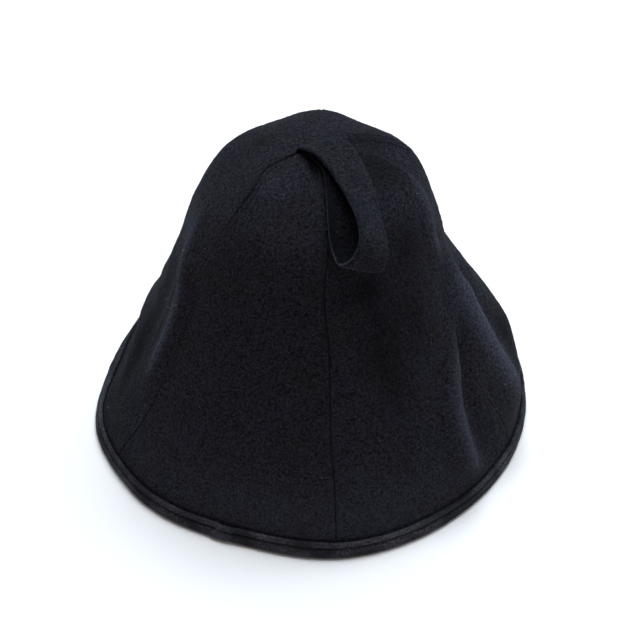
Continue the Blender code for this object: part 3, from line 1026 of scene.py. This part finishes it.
def model_stitch(length, radius):
    """Model one thread stitch along X: its corners and faces in mm, bowed down at both ends."""
    bpy.ops.object.select_all(action="DESELECT")
    bpy.ops.mesh.primitive_cylinder_add(vertices=6, radius=radius * MM, depth=0.6 * length * MM,
                                        rotation=(0.0, math.radians(90.0), 0.0))
    stitch = bpy.context.object
    bpy.ops.object.transform_apply(location=True, rotation=True, scale=True)
    bpy.ops.object.mode_set(mode="EDIT")
    bpy.ops.mesh.select_all(action="DESELECT")
    bpy.ops.object.mode_set(mode="OBJECT")
    for end in (-1.0, 1.0):
        for polygon in stitch.data.polygons:
            polygon.select = polygon.normal.x * end > 0.9
        bpy.ops.object.mode_set(mode="EDIT")
        bpy.ops.mesh.extrude_region_move(TRANSFORM_OT_translate={
            "value": (end * 0.2 * length * MM, 0.0, -0.9 * radius * MM)})
        bpy.ops.transform.resize(value=(1.0, 0.55, 0.55))
        bpy.ops.mesh.select_all(action="DESELECT")
        bpy.ops.object.mode_set(mode="OBJECT")
    points = np.array([vert.co[:] for vert in stitch.data.vertices]) / MM
    faces = [list(polygon.vertices) for polygon in stitch.data.polygons]
    bpy.data.objects.remove(stitch, do_unlink=True)
    return points, faces


def sew(name, runs, length, radius, material):
    """Lay copies of one stitch at many places: each a middle, a direction and an outward normal."""
    points, faces = model_stitch(length, radius)
    all_points = []
    all_faces = []
    for middle, along, out in runs:
        along = along / np.linalg.norm(along)
        side = np.cross(out, along)
        side /= np.linalg.norm(side)
        up = np.cross(along, side)
        first = len(all_points) * len(points)
        all_points.append(middle + points[:, :1] * along + points[:, 1:2] * side + points[:, 2:] * up)
        all_faces += [[first + corner for corner in face] for face in faces]
    return new_piece(name, np.concatenate(all_points), all_faces, material)


def topstitch_runs():
    """Where the stitches beside the sewn-down seams lie, pitch by pitch up each seam."""
    pitch = settings().stitch_pitch / MM
    runs = []
    first = math.ceil((TAPE_HEIGHT + TOPSTITCH_ABOVE_TAPE) / pitch)
    last = math.floor((WALL_LENGTH - TOPSTITCH_BELOW_APEX) / pitch)
    for seam, side in TOPSTITCHED.items():
        for k in range(first, last):
            line = []
            for place in (k * pitch - 1.0, k * pitch, k * pitch + 1.0):
                turn = seam_turn(seam, place) + side * math.degrees(TOPSTITCH_AWAY / section_at(place)[1])
                line.append(felt_row([turn, turn + 0.5], place))
            along = line[2][0] - line[0][0]
            out = np.cross(line[1][1] - line[1][0], along)
            out /= np.linalg.norm(out)
            runs.append((line[1][0] - 0.02 * out, along, out))
    return runs


class HAT_OT_stitches(bpy.types.Operator):
    """Sew the stitches along the rim tape and beside the seams"""

    bl_idname = "hat.stitches"
    bl_label = "Stitches"

    def execute(self, context):
        pitch = settings().stitch_pitch / MM
        count = rim_stitches()
        turns = (np.arange(count) + 0.5) * 360.0 / count - 180.0
        heights = np.full(count, STITCH_HEIGHT)
        outs = np.full(count, TAPE_OUT - STITCH_SUNK)
        middles = tape_points(turns, outs, heights)
        ahead = tape_points(turns + 0.3, outs, heights)
        thread = thread_material("spun_sewing_thread", settings().thread_colour)
        rim_runs = zip(middles, ahead - middles, outward(turns, rise=0.4))
        sew("rim_stitches", rim_runs, length=0.72 * pitch, radius=0.34, material=thread)
        sew("seam_stitches", topstitch_runs(), length=0.7 * pitch, radius=0.26, material=thread)
        return {"FINISHED"}


def outer_faces(names):
    """Middles, normals and areas, in mm, of the faces that look out on some pieces."""
    kept = []
    for name in names:
        polygons = bpy.data.objects[name].data.polygons
        fields = []
        for field, width in (("center", 3), ("normal", 3), ("area", 1)):
            values = np.empty(len(polygons) * width)
            polygons.foreach_get(field, values)
            fields.append(values.reshape(-1, width) if width > 1 else values)
        middle, normal, area = fields
        middle = middle / MM
        away = middle * (1.0, 1.0, 0.0)
        away /= np.maximum(np.linalg.norm(away, axis=1, keepdims=True), 1.0)
        looks_out = (normal * away).sum(axis=1) + 0.8 * normal[:, 2] > 0.15
        if name == "felt_hanging_loop":
            looks_out[:] = True
        looks_out &= middle[:, 2] > FIBRES_ABOVE
        kept.append((middle[looks_out], normal[looks_out], area[looks_out]))
    return [np.concatenate(field) for field in zip(*kept)]


def scatter_fibres(name, surfaces, count, length, radius, lift, seed, material):
    """Scatter short bent fibres, rooted in the outer faces of some pieces."""
    draw = np.random.default_rng(seed)
    middles, normals, areas = outer_faces(surfaces)
    picks = draw.choice(len(areas), size=count, p=areas / areas.sum())
    out = normals[picks]
    any_way = draw.normal(size=(count, 3))
    flat = any_way - out * (any_way * out).sum(axis=1, keepdims=True)
    flat /= np.linalg.norm(flat, axis=1, keepdims=True)
    second = np.cross(out, flat)
    lengths = np.clip(draw.gamma(2.2, length / 2.2, count), 0.35 * length, 3.2 * length)[:, None]
    rise = lift * draw.uniform(0.1, 1.0, count)[:, None]
    bend = draw.normal(0.0, 0.45, count)[:, None]
    root = middles[picks] + flat * draw.normal(0.0, 0.4, count)[:, None] - 0.08 * out
    knee = root + lengths * (0.5 * flat + rise * out)
    tip = knee + lengths * (0.5 * flat + bend * second + 0.25 * rise * out)
    radii = radius * draw.uniform(0.7, 1.3, count)[:, None]
    corners = []
    for middle, thick in ((root, 1.0), (knee, 0.8)):
        for k in range(3):
            a = 2.0 * math.pi * k / 3.0
            corners.append(middle + radii * thick * (math.cos(a) * second + math.sin(a) * out))
    points = np.stack(corners + [tip], axis=1).reshape(-1, 3)
    points[:, 2] = np.maximum(points[:, 2], FIBRES_LOWEST)
    one = [[0, 2, 1], [0, 1, 4, 3], [1, 2, 5, 4], [2, 0, 3, 5], [3, 4, 6], [4, 5, 6], [5, 3, 6]]
    faces = [[7 * k + corner for corner in face] for k in range(count) for face in one]
    return new_piece(name, points, faces, material)


class HAT_OT_loose_fibres(bpy.types.Operator):
    """Tease loose wool fibres out of the felt, and scatter specks of lint"""

    bl_idname = "hat.loose_fibres"
    bl_label = "Loose Fibres"

    def execute(self, context):
        every = ["felt_" + gore[0] for gore in GORES] + ["rim_tape", "felt_hanging_loop"]
        length = settings().fuzz_length / MM
        wool = fibre_material("teased_wool_fibre", settings().felt_colour, settings().felt_fleck_colour)
        scatter_fibres("wool_fibres", every, settings().fuzz_count, length, radius=0.045, lift=0.5, seed=71,
                       material=wool)
        lint = fibre_material("cotton_lint", settings().highlight_and_lint_colour, settings().lint_colour)
        scatter_fibres("lint_specks", every, settings().lint_count, length=0.7, radius=0.16, lift=0.15,
                       seed=72, material=lint)
        return {"FINISHED"}


class HAT_OT_stage(bpy.types.Operator):
    """Set the pale floor, the soft studio lights and the camera"""

    bl_idname = "hat.stage"
    bl_label = "Stage"

    def execute(self, context):
        bpy.ops.object.select_all(action="DESELECT")
        bpy.ops.mesh.primitive_plane_add(size=9.0, location=(0.0, 0.0, -0.0003))
        floor = context.object
        floor.name = "studio_floor"
        floor.data.materials.append(floor_material("painted_studio_floor"))
        for name, place, size, watts, colour in SOFTBOXES:
            bpy.ops.object.light_add(type="AREA", location=place)
            light = context.object
            light.name = name
            light.data.shape = "SQUARE"
            light.data.size = size
            light.data.energy = watts
            light.data.color = to_linear(colour)[:3]
            aim = Vector((0.0, 0.0, 0.1)) - Vector(place)
            light.rotation_euler = aim.to_track_quat("-Z", "Y").to_euler()
        world = bpy.data.worlds.new("studio_room")
        world.use_nodes = True
        plug(world, world.node_tree.nodes["Background"],
             {"Color": to_linear(ROOM_LIGHT), "Strength": ROOM_STRENGTH}, None)
        context.scene.world = world
        context.scene.view_settings.view_transform = "Standard"
        tilt = math.radians(CAMERA_ELEVATION)
        target = Vector(CAMERA_TARGET) * MM
        stand = target + CAMERA_DISTANCE * MM * Vector((0.0, -math.cos(tilt), math.sin(tilt)))
        bpy.ops.object.camera_add(location=stand)
        camera = context.object
        camera.name = "view_camera"
        camera.rotation_euler = (target - stand).to_track_quat("-Z", "Y").to_euler()
        camera.data.lens = CAMERA_LENS
        camera.data.sensor_width = CAMERA_SENSOR
        context.scene.camera = camera
        return {"FINISHED"}


class HAT_PT_panel(bpy.types.Panel):
    """Lists the hat's settings and the steps that build it."""

    bl_label = "Sauna Hat"
    bl_idname = "HAT_PT_panel"
    bl_space_type = "VIEW_3D"
    bl_region_type = "UI"
    bl_category = "Hat"

    def draw(self, context):
        for name in HatSettings.__annotations__:
            self.layout.prop(context.scene.hat_settings, name)
        for step in STEPS:
            self.layout.operator(step.bl_idname)


STEPS = (HAT_OT_stage, HAT_OT_felt_gores, HAT_OT_rim_tape, HAT_OT_hanging_loop, HAT_OT_stitches,
         HAT_OT_loose_fibres)
CLASSES = (HatSettings, *STEPS, HAT_PT_panel)


def register():
    """Make the add-on's classes known to Blender."""
    for cls in CLASSES:
        bpy.utils.register_class(cls)
    bpy.types.Scene.hat_settings = bpy.props.PointerProperty(type=HatSettings)


def unregister():
    """Take the add-on's classes out again."""
    del bpy.types.Scene.hat_settings
    for cls in reversed(CLASSES):
        bpy.utils.unregister_class(cls)


def main():
    """Build the whole hat."""
    register()
    bpy.ops.hat.stage()
    bpy.ops.hat.felt_gores()
    bpy.ops.hat.rim_tape()
    bpy.ops.hat.hanging_loop()
    bpy.ops.hat.stitches()
    bpy.ops.hat.loose_fibres()


if __name__ == "__main__":
    main()
